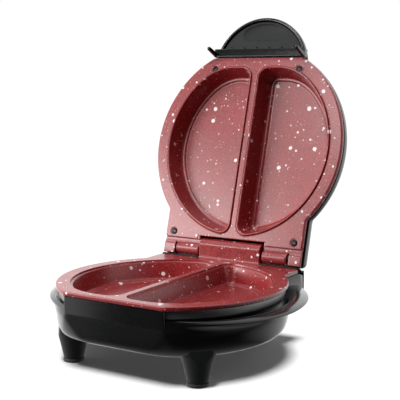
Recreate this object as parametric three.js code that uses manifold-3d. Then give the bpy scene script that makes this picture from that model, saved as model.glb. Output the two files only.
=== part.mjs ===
// Round two-pocket omelette maker with a hinged lid, a front latch clip and four legs.
// Millimetres, +Z up, +X along the hinge, the front faces -Y.
// Everything is drawn around the lower cooking plate: its centre is the origin of the drawing
// and its top face is z = 0. The whole group is then lifted and centred on its bounding box.
// The lid is drawn closed and swung open about the hinge axis.
import * as THREE from 'three';
import Module from 'manifold-3d';
import { mergeVertices } from 'three/addons/utils/BufferGeometryUtils.js';

const wasm = await Module();
wasm.setup();

// ---- driving dimensions ----
const GROUND = -67.2;          // table surface below the lower plate's face
const CENTRE_Y = 44.83;         // middle of the open object's depth, in drawing coordinates
const PLATE_R = 100;           // round edge of both cooking plates
const PLATE_FRONT = 87.16;     // flat front edge
const PLATE_SIDE = 74.63;      // half width of the rear shoulders
const PLATE_REAR = 94.65;      // straight rear edge
const RIM = 3.6;               // plate casting thickness at its edge
const GAP = 0.3;               // air left between pieces that meet
const HINGE_Y = 103.58;
const HINGE_Z = 6.07;
const OPEN_DEG = 106.12;
const POCKET_R = 85.5;
const POCKET_FRONT = 76.5;
const POCKET_DEPTH = 18.5;
const DIVIDER = 10.6;          // land between the two pockets
const SKIN = 2.5;              // plate wall around a pocket
const LID_FACE = 0.5;          // lid plate face above the lower plate face when closed
const BEAD = 1.3;              // sealing bead on the lid plate
const LEDGE = 1.7;             // seat for that bead in the lower plate
const PIN_R = 2.5;
const KNUCKLE_HALF = 33;       // centre knuckle of the lower plate
const NOTCH_HALF = 35.5;       // notch in the lid for that knuckle
const BARREL_R = 6.5;
const BARREL_IN = 34.6;
const BARREL_OUT = 60;
const FLANGE_A = 114.5;        // half width of the wing flange
const FLANGE_Y = 5;
const FLANGE_FRONT = 100;
const FLANGE_REAR = 117;
const BLOCK_REAR = 106;        // back wall of the lower housing
const LID_REAR = 110.5;        // back wall of the lid
const LID_SIDE = 75.8;
const HANDLE_R = 50;
const HANDLE_Y = -79;
const LATCH_Y = -92.2;         // latch pivot
const LATCH_Z = 3.8;
const NUB_PITCH = 13.6;        // row of small stops behind the latch bar
const LEGS = [[-62.5, -58.6], [62.5, -58.6], [-38, 76], [38, 76]];
const PLATE_SCREWS = [[-45.9, -75.8], [45.9, -75.8], [-65.5, 88.35], [65.5, 88.35]];

// ---- solid helpers ----
function deg(a) {
  return a * Math.PI / 180;
}

function arc(cx, cy, r, from, to, n) {
  const pts = [];
  for (let i = 0; i <= n; i++) {
    const a = from + (to - from) * i / n;
    pts.push([cx + r * Math.cos(a), cy + r * Math.sin(a)]);
  }
  return pts;
}

function counterClockwise(loop) {
  let area = 0;
  loop.forEach(([x, y], i) => {
    const [nx, ny] = loop[(i + 1) % loop.length];
    area += x * ny - nx * y;
  });
  return area > 0 ? loop : loop.slice().reverse();
}

// Closed skin through stacked loops of equal length, given as [loop, z].
function loft(stack) {
  const sections = stack[0][1] > stack[stack.length - 1][1] ? stack.slice().reverse() : stack;
  const n = sections[0][0].length;
  const pos = [];
  const idx = [];
  sections.forEach(([loop, z]) => counterClockwise(loop).forEach(([x, y]) => pos.push(x, y, z)));
  for (let s = 0; s + 1 < sections.length; s++) {
    for (let i = 0; i < n; i++) {
      const a = s * n + i;
      const b = s * n + (i + 1) % n;
      idx.push(a, b, b + n, a, b + n, a + n);
    }
  }
  const last = (sections.length - 1) * n;
  const cap = (loop) => THREE.ShapeUtils.triangulateShape(
    counterClockwise(loop).map(([x, y]) => new THREE.Vector2(x, y)), []);
  cap(sections[0][0]).forEach(([a, b, c]) => idx.push(a, c, b));
  cap(sections[sections.length - 1][0]).forEach(([a, b, c]) => idx.push(last + a, last + b, last + c));
  const g = new THREE.BufferGeometry();
  g.setAttribute('position', new THREE.Float32BufferAttribute(pos, 3));
  g.setIndex(idx);
  return solid(g);
}

function solid(geometry) {
  geometry.deleteAttribute('normal');
  geometry.deleteAttribute('uv');
  const g = mergeVertices(geometry, 1e-4);
  const mesh = new wasm.Mesh({
    numProp: 3,
    vertProperties: new Float32Array(g.attributes.position.array),
    triVerts: new Uint32Array(g.index.array),
  });
  return new wasm.Manifold(mesh);
}

function geometryOf(manifold) {
  const m = manifold.getMesh();
  const g = new THREE.BufferGeometry();
  g.setAttribute('position', new THREE.Float32BufferAttribute(m.vertProperties, 3));
  g.setIndex(new THREE.Uint32BufferAttribute(m.triVerts, 1));
  return g;
}

function box(x0, x1, y0, y1, z0, z1) {
  const g = new THREE.BoxGeometry(x1 - x0, y1 - y0, z1 - z0);
  g.translate((x0 + x1) / 2, (y0 + y1) / 2, (z0 + z1) / 2);
  return solid(g);
}

function rodZ(x, y, z0, z1, r0, r1 = r0, n = 20) {
  const g = new THREE.CylinderGeometry(r1, r0, z1 - z0, n);
  g.rotateX(Math.PI / 2);
  g.translate(x, y, (z0 + z1) / 2);
  return solid(g);
}

function rodX(x0, x1, y, z, r, n = 24) {
  const g = new THREE.CylinderGeometry(r, r, x1 - x0, n);
  g.rotateZ(Math.PI / 2);
  g.translate((x0 + x1) / 2, y, z);
  return solid(g);
}

function rodY(x, y0, y1, z, r, n = 20) {
  const g = new THREE.CylinderGeometry(r, r, y1 - y0, n);
  g.translate(x, (y0 + y1) / 2, z);
  return solid(g);
}

// Extrusion along X of a profile given as [y, z] points.
function alongX(profile, x0, x1) {
  const sections = [[profile, 0], [profile, x1 - x0]];
  return loft(sections).rotate([90, 0, 90]).translate([x0, 0, 0]);
}

// ---- outlines ----
// Round plate with a flat front, two rear shoulders and a straight back.
function plateOutline(grow, side = PLATE_SIDE, rear = PLATE_REAR, corner = 3) {
  const r = PLATE_R + grow;
  const w = side + grow;
  const back = rear + grow;
  const front = PLATE_FRONT + grow;
  const frontAngle = Math.atan2(-front, Math.sqrt(r * r - front * front));
  const sideAngle = Math.acos(w / r);
  const c = Math.max(corner + grow * 0.3, 0.6);
  const right = [
    ...arc(0, 0, r, frontAngle, sideAngle, 18),
    ...arc(w - c, back - c, c, 0, Math.PI / 2, 3),
  ];
  const left = right.map(([x, y]) => [-x, y]).reverse();
  return right.concat(left);
}

// Half-moon pocket with three rounded corners; inset shrinks it.
function pocketOutline(side, inset) {
  const a = DIVIDER / 2 + inset;
  const r = POCKET_R - inset;
  const b = POCKET_FRONT - inset;
  const f1 = 9 - inset * 0.7;
  const f2 = 50 - inset;
  const f3 = 10 - inset * 0.7;
  const y1 = Math.sqrt((r - f1) ** 2 - (a + f1) ** 2);
  const x2 = Math.sqrt((r - f2) ** 2 - (b - f2) ** 2);
  const a1 = Math.atan2(y1, a + f1);
  const a2 = Math.atan2(-(b - f2), x2);
  const loop = [
    ...arc(a + f3, -(b - f3), f3, -Math.PI / 2, -Math.PI, 4),
    ...arc(a + f1, y1, f1, Math.PI, a1, 4),
    ...arc(0, 0, r, a1 - 0.1, a2 + 0.1, 15),
    ...arc(x2, -(b - f2), f2, a2, -Math.PI / 2, 7),
  ];
  return loop.map(([x, y]) => [side * x, y]);
}

// Oval about (0, cy) with its own front and rear half lengths, cut straight at both ends.
function cutOval(half, front, rear, cy, yFront, yRear) {
  const from = Math.asin(Math.max((yFront - cy) / front, -0.985));
  const to = Math.asin(Math.min((yRear - cy) / rear, 0.9994));
  const right = arc(0, 0, 1, from, to, 18).map(([c, s]) => [half * c, cy + (s < 0 ? front : rear) * s]);
  const left = right.map(([x, y]) => [-x, y]).reverse();
  return right.concat(left);
}

// Wing flange, flat at the front wall and at the back.
function flangeOutline(grow) {
  const front = -PLATE_FRONT + 0.6;
  return cutOval(FLANGE_A + grow, FLANGE_FRONT + grow, FLANGE_REAR + grow, FLANGE_Y, front, BLOCK_REAR - 4);
}

// Round bowl, flat at the front.
function bowlOutline(r, front) {
  return cutOval(r, r, r, 0, -front, r);
}

// ---- cooking plates ----
function pocketCavity(side) {
  return loft([
    [pocketOutline(side, 0), 2],
    [pocketOutline(side, 0), 0],
    [pocketOutline(side, 3.9), -14],
    [pocketOutline(side, 5.4), -17],
    [pocketOutline(side, 8.4), -POCKET_DEPTH],
  ]);
}

function pocketShell(side) {
  return loft([
    [pocketOutline(side, 5.4), -POCKET_DEPTH - SKIN],
    [pocketOutline(side, 1.9), -17],
    [pocketOutline(side, -1.9), -RIM + 0.5],
  ]);
}

function lowerPlate() {
  let plate = loft([
    [plateOutline(-0.4), -RIM],
    [plateOutline(0), -RIM + 0.6],
    [plateOutline(0), -0.7],
    [plateOutline(-0.7), 0],
  ]);
  const knuckle = alongX([
    [93, -RIM], [93, -0.6], [96.4, 0.4], [96.4, 11], [97.2, 14.2], [99.6, 16.8], [103.6, 17.8],
    [108.2, 16.8], [112, 14], [114.4, 9.6], [114.6, 5], [113.4, 1], [110, -RIM],
  ], -KNUCKLE_HALF, KNUCKLE_HALF);
  plate = plate.add(knuckle);
  for (const side of [-1, 1]) {
    plate = plate.add(pocketShell(side));
  }
  for (const side of [-1, 1]) {
    plate = plate.subtract(pocketCavity(side));
    plate = plate.subtract(loft([[pocketOutline(side, -2.2), -LEDGE], [pocketOutline(side, -2.2), 2]]));
  }
  plate = plate.subtract(box(-9, 9, -PLATE_FRONT - 1, -PLATE_FRONT + 0.8, -RIM - 1, -RIM + 1.4));
  return plate.subtract(rodX(-40, 40, HINGE_Y, HINGE_Z, PIN_R + 0.06));
}

// Drawn face up like the lower plate, then turned over to face down.
function upperPlate() {
  let plate = loft([
    [plateOutline(-0.7), 0],
    [plateOutline(0), 0.7],
    [plateOutline(0), RIM - 0.6],
    [plateOutline(-0.4), RIM],
  ]).translate([0, 0, LID_FACE]);
  const flip = (m) => m.mirror([0, 0, 1]).translate([0, 0, LID_FACE]);
  for (const side of [-1, 1]) {
    plate = plate.add(flip(pocketShell(side)));
    plate = plate.add(loft([[pocketOutline(side, -1.7), LID_FACE - BEAD], [pocketOutline(side, -1.7), 2]]));
    const end = [
      [93, LID_FACE + 1.6], [100, LID_FACE + 1.6], [100.6, LID_FACE], [109.6, LID_FACE + 0.4],
      [109.6, LID_FACE + RIM - 0.1], [93, LID_FACE + RIM - 0.1],
    ];
    const x0 = side > 0 ? 62 : -PLATE_SIDE + 0.3;
    plate = plate.add(alongX(end, x0, x0 + PLATE_SIDE - 62.3));
    const web = [[93, 2.1], [99, 2.1], [101, 5.5], [101, 8.6], [98.6, 9], [93, 4]];
    const b0 = side > 0 ? BARREL_IN : -BARREL_OUT;
    plate = plate.add(alongX(web, b0 + (side > 0 ? 1 : 0), b0 + BARREL_OUT - BARREL_IN - (side > 0 ? 0 : 1)));
    plate = plate.add(rodX(b0, b0 + BARREL_OUT - BARREL_IN, HINGE_Y, HINGE_Z, BARREL_R));
  }
  for (const side of [-1, 1]) {
    plate = plate.subtract(flip(pocketCavity(side)));
  }
  plate = plate.subtract(box(-NOTCH_HALF + 1.2, NOTCH_HALF - 1.2, 90, 120, -5, 30));
  for (const [x, y] of PLATE_SCREWS) {
    plate = plate.subtract(rodZ(x, y, -1, LID_FACE + 1.8, 4));
    plate = plate.subtract(rodZ(x, y, -1, 10, 2));
  }
  return plate.subtract(rodX(-70, 70, HINGE_Y, HINGE_Z, PIN_R + 0.25));
}

// ---- lower body ----
function lowerHousing() {
  const f = PLATE_FRONT;
  const wall = loft([
    [plateOutline(-5.4), -20],
    [plateOutline(-5.4), -11.2],
    [plateOutline(-2.6), -10.6],
    [plateOutline(-3), -RIM - GAP],
  ]);
  const flange = loft([
    [bowlOutline(99, f - 1), -26],
    [bowlOutline(102.2, f - 0.7), -20],
    [flangeOutline(-5), -15.6],
    [flangeOutline(-0.8), -13.6],
    [flangeOutline(0), -12.4],
    [flangeOutline(-1), -11.6],
    [flangeOutline(-9), -13.6],
    [bowlOutline(93.8, f - 1.4), -16.4],
  ]);
  const bowl = loft([
    [bowlOutline(89, f - 7), -42],
    [bowlOutline(92.6, f - 4.4), -41.6],
    [bowlOutline(95.4, f - 3), -39.8],
    [bowlOutline(97.4, f - 2.4), -36],
    [bowlOutline(99.6, f - 1.6), -30],
    [bowlOutline(101.4, f - 0.8), -23],
  ]);
  const slab = loft([
    [[[-44, -f + 3.4], [44, -f + 3.4], [50, -60], [-50, -60]], -40],
    [[[-47, -f + 1.4], [47, -f + 1.4], [50, -60], [-50, -60]], -28],
    [[[-48.6, -f + 0.2], [48.6, -f + 0.2], [50, -60], [-50, -60]], -RIM - GAP],
  ]);
  const block = alongX([
    [60, -30], [BLOCK_REAR - 4, -30], [BLOCK_REAR, -25], [BLOCK_REAR, -6.6], [BLOCK_REAR - 2.4, -4.4],
    [97.4, -0.6], [96.9, 0.8], [95.05, 0.8], [95.05, -RIM - GAP], [60, -RIM - GAP],
  ], -PLATE_SIDE, PLATE_SIDE);
  let body = wall.add(flange).add(bowl).add(slab).add(block);
  for (const x of [-43, 43]) {
    body = body.add(box(x - 3, x + 3, BLOCK_REAR - 4, BLOCK_REAR + 7, -20, -4.7));
  }
  const inside = loft([
    [bowlOutline(80, 72), -43],
    [bowlOutline(80, 72), -36.4],
    [bowlOutline(94.6, f - 4.9), -34],
    [bowlOutline(97, f - 3.9), -28],
    [bowlOutline(97.4, f - 3.4), -24],
    [bowlOutline(91.8, f - 3), -17.6],
    [bowlOutline(91.8, f - 3), 0],
  ]);
  body = body.subtract(inside);
  body = body.subtract(loft([[bowlOutline(88, 79), -43], [bowlOutline(88, 79), -39.6]]));
  body = body.subtract(box(-PLATE_SIDE + 2.5, PLATE_SIDE - 2.5, 60, BLOCK_REAR - 2.6, -27.5, -7.4));
  body = body.subtract(box(-PLATE_SIDE + 2.5, PLATE_SIDE - 2.5, 50, 93, -27.5, 0));
  body = body.subtract(rodX(-90, 90, HINGE_Y, HINGE_Z, 8.4, 40));
  body = body.subtract(rodX(-90, 90, HINGE_Y, HINGE_Z, 9.6, 40).intersect(box(-95, 95, 100, 120, -10, 20)));
  body = body.subtract(box(-KNUCKLE_HALF - 1, KNUCKLE_HALF + 1, 90, 116, -RIM - GAP, 10));
  for (const [x, y] of bottomScrews()) {
    body = body.subtract(rodZ(x, y, -41, -37, 1.9, 1.9, 12));
  }
  return body.subtract(rodY(0, 95, 115, -19, 5.3));
}

function bottomScrews() {
  return [35, 145, 215, 325].map((a) => [84 * Math.cos(deg(a)), 84 * Math.sin(deg(a)) * 0.86]);
}

function bottomCover() {
  let cover = loft([
    [bowlOutline(87.6, 78.6), -42.4],
    [bowlOutline(87.6, 78.6), -40],
  ]);
  cover = cover.subtract(loft([[bowlOutline(79, 70), -41], [bowlOutline(79, 70), -39]]));
  for (let i = -2; i <= 2; i++) {
    cover = cover.subtract(box(i * 9 - 2, i * 9 + 2, -20, 20, -44, -38));
  }
  for (const [x, y] of bottomScrews()) {
    cover = cover.subtract(rodZ(x, y, -43, -41.2, 4));
    cover = cover.subtract(rodZ(x, y, -43, -38, 1.9, 1.9, 12));
  }
  return cover;
}

function leg([x, y]) {
  const r = 9.4;
  return loft([
    [arc(x, y, r - 0.8, 0, deg(345), 23), GROUND + 3.3],
    [arc(x, y, r - 0.6, 0, deg(345), 23), GROUND + 6],
    [arc(x, y, r + 1.3, 0, deg(345), 23), GROUND + 16],
    [arc(x, y, r + 3.2, 0, deg(345), 23), -42.8],
  ]);
}

function footPad([x, y]) {
  return loft([
    [arc(x, y, 8.6, 0, deg(342), 19), GROUND],
    [arc(x, y, 9.3, 0, deg(342), 19), GROUND + 0.8],
    [arc(x, y, 9.1, 0, deg(342), 19), GROUND + 3],
  ]);
}

// ---- heating and control parts ----
function element(radius, z) {
  const pts = [[17, 76]];
  for (let i = 0; i <= 30; i++) {
    const a = deg(68 - 316 * i / 30);
    pts.push([radius * Math.cos(a), radius * Math.sin(a)]);
  }
  pts.push([-17, 76]);
  const curve = new THREE.CatmullRomCurve3(pts.map(([x, y]) => new THREE.Vector3(x, y, z)));
  const ring = new THREE.Shape();
  ring.absarc(0, 0, 3.1, 0, 2 * Math.PI);
  const g = new THREE.ExtrudeGeometry(ring, { steps: 32, curveSegments: 4, extrudePath: curve });
  return solid(g);
}

function thermostat(z0, z1) {
  const tabs = box(-11, 11, -3, 3, z0 + 0.5, z0 + 1.5);
  return rodZ(0, 0, z0, z1, 7.6).add(tabs);
}

function screw([x, y], faceZ, length) {
  // Pan head facing -Z with a cross recess; the shank runs upward.
  let s = rodZ(x, y, faceZ, faceZ + 1.4, 3.1, 3.5, 16);
  s = s.add(rodZ(x, y, faceZ + 1, faceZ + length, 1.5, 1.5, 10));
  s = s.subtract(box(x - 1.7, x + 1.7, y - 0.4, y + 0.4, faceZ - 1, faceZ + 0.8));
  return s.subtract(box(x - 0.4, x + 0.4, y - 1.7, y + 1.7, faceZ - 1, faceZ + 0.8));
}

// ---- lid ----
function lidOutline(inset) {
  return plateOutline(-inset, LID_SIDE, LID_REAR, 4);
}

function upperHousing() {
  const bottom = LID_FACE + RIM + GAP;
  const shoulder = 9;
  const round = 16;
  const sections = [[lidOutline(2), bottom], [lidOutline(2), bottom + 0.9], [lidOutline(0), bottom + 1.2]];
  const inner = [[lidOutline(4.4), -2], [lidOutline(4.4), bottom + 1], [lidOutline(2.6), bottom + 2.4]];
  for (const a of [0, 27, 54, 78]) {
    const inset = round * (1 - Math.cos(deg(a)));
    const z = shoulder + round * Math.sin(deg(a));
    sections.push([lidOutline(inset), z]);
    inner.push([lidOutline(inset + 2.6), z - 2.4 * Math.sin(deg(a))]);
  }
  for (const [inset, z] of [[30, 30.6], [60, 36.2]]) {
    sections.push([lidOutline(inset), z]);
    inner.push([lidOutline(inset + 2), z - 2.6]);
  }
  let lid = loft(sections).subtract(loft(inner));
  lid = lid.subtract(rodX(-NOTCH_HALF, NOTCH_HALF, HINGE_Y, HINGE_Z, 13.3, 36));
  lid = lid.subtract(box(-NOTCH_HALF, NOTCH_HALF, 90.3, 120, -1, HINGE_Z));
  lid = lid.subtract(rodX(-61.8, 61.8, HINGE_Y, HINGE_Z, BARREL_R + 0.9, 32));
  lid = lid.subtract(box(-61.8, 61.8, 92, 120, -1, HINGE_Z));
  for (const x of [-9, 9]) {
    lid = lid.subtract(rodZ(x, -42, 20, 45, 3.6, 3.6, 16));
  }
  return lid;
}

// Part of a disc in front of the line y = cutY.
function gripOutline(r, cutY) {
  const a = Math.asin((HANDLE_Y - cutY) / r);
  return arc(0, HANDLE_Y, r, Math.PI + a, 2 * Math.PI - a, 30);
}

function handle() {
  const cut = (r) => gripOutline(r, -88);
  let grip = loft([
    [cut(HANDLE_R - 0.8), 5],
    [cut(HANDLE_R), 6],
    [cut(HANDLE_R), 9],
    [cut(HANDLE_R - 2.4), 13.6],
    [cut(HANDLE_R - 8), 17.4],
    [cut(HANDLE_R - 17), 20],
  ]);
  grip = grip.subtract(box(-60, 60, -97, -80, 0, 9.3));
  for (const side of [-1, 1]) {
    grip = grip.add(box(side * 37.8 - 1.8, side * 37.8 + 1.8, LATCH_Y - 1.4, LATCH_Y + 1.4, 2, 10));
  }
  const bowl = (r) => gripOutline(r, -97.4);
  grip = grip.subtract(loft([[bowl(HANDLE_R - 3.2), 0], [bowl(HANDLE_R - 3.6), 9.4]]));
  return grip.subtract(rodX(-60, 60, LATCH_Y, LATCH_Z, 0.86, 12));
}

// Matt inner face of the grip with its oval finger dimple.
function handleLiner() {
  const bowl = (r) => gripOutline(r, -97.8);
  let plate = loft([[bowl(HANDLE_R - 4), 7], [bowl(HANDLE_R - 4), 9]]);
  for (let i = 0; i < 6; i++) {
    const x = (i - 2.5) * NUB_PITCH;
    plate = plate.add(box(x - 1.1, x + 1.1, -99.6, -98, 5.9, 7.6));
  }
  const dimple = new THREE.SphereGeometry(1, 24, 10);
  dimple.scale(23, 9, 1.5);
  dimple.translate(0, -112.5, 6.9);
  return plate.subtract(solid(dimple));
}

function latchClip() {
  const bar = alongX([
    [-88.2, 0.4], [-88.2, 6.6], [-88.9, 7.3], [-95.8, 7.3], [-96.4, 6.6], [-96.4, 0.6], [-95.6, -0.2],
    [-88.8, -0.2],
  ], -49.2, 49.2);
  let clip = bar;
  for (const side of [-1, 1]) {
    const x = side * 47.8;
    const foot = (y0, y1, w) => [[x - w, y0], [x + w, y0], [x + w, y1], [x - w, y1]];
    clip = clip.add(loft([
      [foot(-93.3, -91.9, 1), -15.2],
      [foot(-94.4, -91.2, 1.6), -14.2],
      [foot(-93.4, -89.6, 1.6), -6],
      [foot(-92.6, -88.4, 1.6), 1],
    ]));
    clip = clip.subtract(box(side * 37.8 - 2.3, side * 37.8 + 2.3, LATCH_Y - 2.9, LATCH_Y + 2.9, 1, 9));
  }
  return clip.subtract(rodX(-46, 46, LATCH_Y, LATCH_Z, 1, 12));
}

// ---- materials ----
function finish(color, roughness, metalness) {
  return { color, roughness, metalness };
}

const COATING = finish(0x8e2c32, 0.42, 0.25);
const BLACK_GLOSS = finish(0x101112, 0.22, 0);
const BLACK_MATT = finish(0x232425, 0.7, 0);
const RUBBER = finish(0x161616, 0.85, 0);
const STEEL = finish(0x9a9da0, 0.35, 1);
const DARK_STEEL = finish(0x3a3a3c, 0.45, 0.9);
const CERAMIC = finish(0xe6e0d2, 0.6, 0);
const LENS = finish(0xb01218, 0.15, 0);

// ---- assembly ----
const group = new THREE.Group();
group.name = 'omelette_maker';
const lid = new THREE.Group();
lid.name = 'lid_group';
const lidShift = new THREE.Vector3(0, -HINGE_Y, -HINGE_Z);

function place(parent, name, manifold, look, shift = new THREE.Vector3()) {
  const g = geometryOf(manifold);
  g.translate(shift.x, shift.y, shift.z);
  const flat = g.toNonIndexed();
  flat.computeVertexNormals();
  const mesh = new THREE.Mesh(flat, new THREE.MeshStandardMaterial(look));
  mesh.name = name;
  parent.add(mesh);
}

function buildBase() {
  place(group, 'lower_housing', lowerHousing(), BLACK_GLOSS);
  place(group, 'bottom_cover', bottomCover(), BLACK_MATT);
  place(group, 'lower_plate', lowerPlate(), COATING);
  LEGS.forEach((spot, i) => place(group, `leg_${i + 1}`, leg(spot), BLACK_GLOSS));
  LEGS.forEach((spot, i) => place(group, `foot_pad_${i + 1}`, footPad(spot), RUBBER));
  bottomScrews().forEach((spot, i) => place(group, `bottom_screw_${i + 1}`, screw(spot, -42.9, 5), STEEL));
  place(group, 'lower_heating_element', element(50, -25), DARK_STEEL);
  place(group, 'lower_reflector', lowerReflector(), STEEL);
  place(group, 'lower_thermostat', thermostat(-31, -22), CERAMIC);
  place(group, 'thermal_fuse', rodX(-8, 8, 24, -24.4, 2.2, 14), STEEL);
  place(group, 'terminal_block', terminalBlock(), CERAMIC);
  place(group, 'cord_gland', cordGland(), RUBBER);
  place(group, 'hinge_pin', rodX(-61.4, 61.4, HINGE_Y, HINGE_Z, PIN_R), STEEL);
  for (const side of [-1, 1]) {
    const ring = rodX(60.4, 61.2, HINGE_Y, HINGE_Z, 5).subtract(rodX(60, 62, HINGE_Y, HINGE_Z, PIN_R + 0.06));
    place(group, side < 0 ? 'pin_clip_left' : 'pin_clip_right', side < 0 ? ring.mirror([1, 0, 0]) : ring, STEEL);
  }
}

function lowerReflector() {
  const disc = (r) => arc(0, 0, r, 0, deg(350), 35);
  const dish = loft([[disc(74), -33.4], [disc(77), -30.2], [disc(76), -30.2], [disc(73.4), -32.6]]);
  return dish.subtract(rodZ(0, 0, -40, -20, 12));
}

function upperReflector() {
  const disc = (r) => arc(0, 0, r, 0, deg(350), 35);
  const dish = loft([[disc(49.6), 27.4], [disc(48), 28.9], [disc(36), 30.4], [disc(20), 30.7], [disc(8), 30.8]]);
  const under = loft([[disc(49.2), 26.8], [disc(47.6), 28.4], [disc(35.8), 29.8], [disc(20), 30.1], [disc(8), 30.2]]);
  return dish.subtract(under).subtract(box(-23, 23, 36, 60, 20, 28.5));
}

function terminalBlock() {
  let block = box(-15, 15, 91, 101, -26, -14);
  for (const x of [-9, 0, 9]) {
    block = block.subtract(rodZ(x, 96, -18, -10, 2.2, 2.2, 10));
  }
  return block;
}

function cordGland() {
  const sleeve = rodY(0, 101.6, 110, -19, 4.9).add(rodY(0, BLOCK_REAR + GAP, 108.6, -19, 7));
  return sleeve.subtract(rodY(0, 95, 120, -19, 3.3));
}

function buildLid() {
  place(lid, 'upper_housing', upperHousing(), BLACK_GLOSS, lidShift);
  place(lid, 'upper_plate', upperPlate(), COATING, lidShift);
  place(lid, 'handle', handle(), BLACK_GLOSS, lidShift);
  place(lid, 'handle_liner', handleLiner(), BLACK_MATT, lidShift);
  PLATE_SCREWS.forEach((s, i) => place(lid, `plate_screw_${i + 1}`, screw(s, 0.35, 8), DARK_STEEL, lidShift));
  place(lid, 'upper_heating_element', element(44, 25), DARK_STEEL, lidShift);
  place(lid, 'upper_reflector', upperReflector(), STEEL, lidShift);
  place(lid, 'upper_thermostat', thermostat(22.2, 29.4), CERAMIC, lidShift);
  for (const [name, x] of [['power_lens', -9], ['ready_lens', 9]]) {
    place(lid, name, rodZ(x, -42, 30, 35.2, 3.3, 3.3, 16), LENS, lidShift);
  }
  place(lid, 'latch_clip', latchClip(), BLACK_GLOSS, lidShift);
  for (const side of [-1, 1]) {
    const pin = rodX(32.5, 44, LATCH_Y, LATCH_Z, 0.8, 12);
    const name = side < 0 ? 'latch_pin_left' : 'latch_pin_right';
    place(lid, name, side < 0 ? pin.mirror([1, 0, 0]) : pin, STEEL, lidShift);
  }
}

buildBase();
buildLid();
lid.position.set(0, HINGE_Y, HINGE_Z);
lid.rotation.x = -deg(OPEN_DEG);
group.add(lid);
group.children.forEach((child) => {
  child.position.y -= CENTRE_Y;
  child.position.z -= GROUND;
});
export default group;
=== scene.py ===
import math
import bpy
import bmesh
from mathutils import Matrix, Vector


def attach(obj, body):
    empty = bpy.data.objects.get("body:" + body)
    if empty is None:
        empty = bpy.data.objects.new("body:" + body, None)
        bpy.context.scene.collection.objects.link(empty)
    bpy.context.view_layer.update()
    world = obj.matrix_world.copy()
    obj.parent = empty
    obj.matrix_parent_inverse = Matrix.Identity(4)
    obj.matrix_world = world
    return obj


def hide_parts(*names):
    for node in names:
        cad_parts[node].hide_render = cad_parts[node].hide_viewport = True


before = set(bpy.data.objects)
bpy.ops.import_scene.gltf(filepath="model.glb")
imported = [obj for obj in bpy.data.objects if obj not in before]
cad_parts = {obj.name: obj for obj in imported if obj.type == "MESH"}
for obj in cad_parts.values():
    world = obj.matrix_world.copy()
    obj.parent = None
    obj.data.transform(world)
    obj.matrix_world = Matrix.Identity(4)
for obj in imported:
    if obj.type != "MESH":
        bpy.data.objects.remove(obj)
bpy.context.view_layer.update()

# A two-pocket omelette maker. Drawing coordinates are millimetres around the lower plate: its
# centre is the origin and its face is z = 0. The lid is drawn closed. The driving dimensions are
# the same as the CAD model's.
CENTRE_Y = 44.83
GROUND = -67.2
PLATE_R = 100.0
PLATE_FRONT = 87.16
PLATE_SIDE = 74.63
PLATE_REAR = 94.65
RIM = 3.6
POCKET_R = 85.5
POCKET_FRONT = 76.5
DIVIDER = 10.6
LEGS = [(-62.5, -58.6), (62.5, -58.6), (-38, 76), (38, 76)]

# hinge: its axis, the lid's opening angle, and the half widths of the knuckle and the lid's notch
HINGE_Y = 103.58
HINGE_Z = 6.07
OPEN = math.radians(106.12)
KNUCKLE_HALF = 33.0
NOTCH_HALF = 35.0

# lid
LID_FACE = 0.5
LID_SIDE = 75.8
LID_REAR = 110.5
LID_TOP = 36.2
LID_SHOULDER = 16.0
LENS_X = 9.0
LENS_Y = -42.0
PLATE_SCREWS = [(-45.9, -75.8), (45.9, -75.8), (-65.5, 88.35), (65.5, 88.35)]
SCREW_SEAT_R = 4.0

# handle and latch
HANDLE_Y = -79.0
HANDLE_R = 50.0
HANDLE_CUT = -88.1
LATCH_Y = -92.2
LUG_X = 37.8
LATCH_HALF = 49.3
PRONG_X = 47.7
DIMPLE = (23.0, 10.4, -112.8, 2.5)  # half width, half height, centre y, depth
LINER_Z = 7.0

# lower body
BODY_FLOOR = -29.8
REAR_BLOCK_STEP = -3.95
FLANGE_TIP = (114.5, 100, 117)

# camera and light
CAMERA_AT = (448.579, -676.477, 177.789)
CAMERA_YAW = math.radians(-32.728)
CAMERA_PITCH = math.radians(7.901)
CAMERA_ROLL = math.radians(-0.15)
CAMERA_LENS = 86.1831
CAMERA_SENSOR = 36
CAMERA_SHIFT = (0.0360, 0.0111)
FLOOR_HALF = 60
DIFFUSE_SKY = 0.2
GLOSS_SKY = 1.6
SKY_BACK = 0.9
SKY_LEFT = 0.75
SKY_RIGHT = 0.45
SKY_TOP = 0.5
SKY_CORNER = (0.54, 8)
SKY_BOUNCE = (0.7, 0.33)
SKY_RAMP = (0.05, 0.85)
SKY_DARK = 0.02


def base_place(p):
    return Vector((p[0], p[1] - CENTRE_Y, p[2] - GROUND)) / 1000


def lid_place(p):
    y, z = p[1] - HINGE_Y, p[2] - HINGE_Z
    c, s = math.cos(OPEN), math.sin(OPEN)
    return base_place((p[0], HINGE_Y + y * c + z * s, HINGE_Z - y * s + z * c))


# ---------------------------------------------------------------- outlines
def arc(cx, cy, r, a0, a1, n):
    out = []
    for i in range(n + 1):
        a = a0 + (a1 - a0) * i / n
        out.append((cx + r * math.cos(a), cy + r * math.sin(a)))
    return out


def ccw(loop):
    area = sum(a[0] * b[1] - b[0] * a[1] for a, b in zip(loop, loop[1:] + loop[:1]))
    return loop if area > 0 else loop[::-1]


def offset(loop, d):
    """Moves a counter-clockwise loop outwards by d, mitred."""
    out = []
    n = len(loop)
    for i, p in enumerate(loop):
        a = Vector(p) - Vector(loop[i - 1])
        b = Vector(loop[(i + 1) % n]) - Vector(p)
        na = Vector((a.y, -a.x)).normalized()
        nb = Vector((b.y, -b.x)).normalized()
        m = na + nb
        k = m.length_squared / 2
        q = Vector(p) + m * (d / max(k, 0.35))
        out.append((q.x, q.y))
    return out


def mirrored(right):
    return right + [(-x, y) for x, y in reversed(right)]


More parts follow.
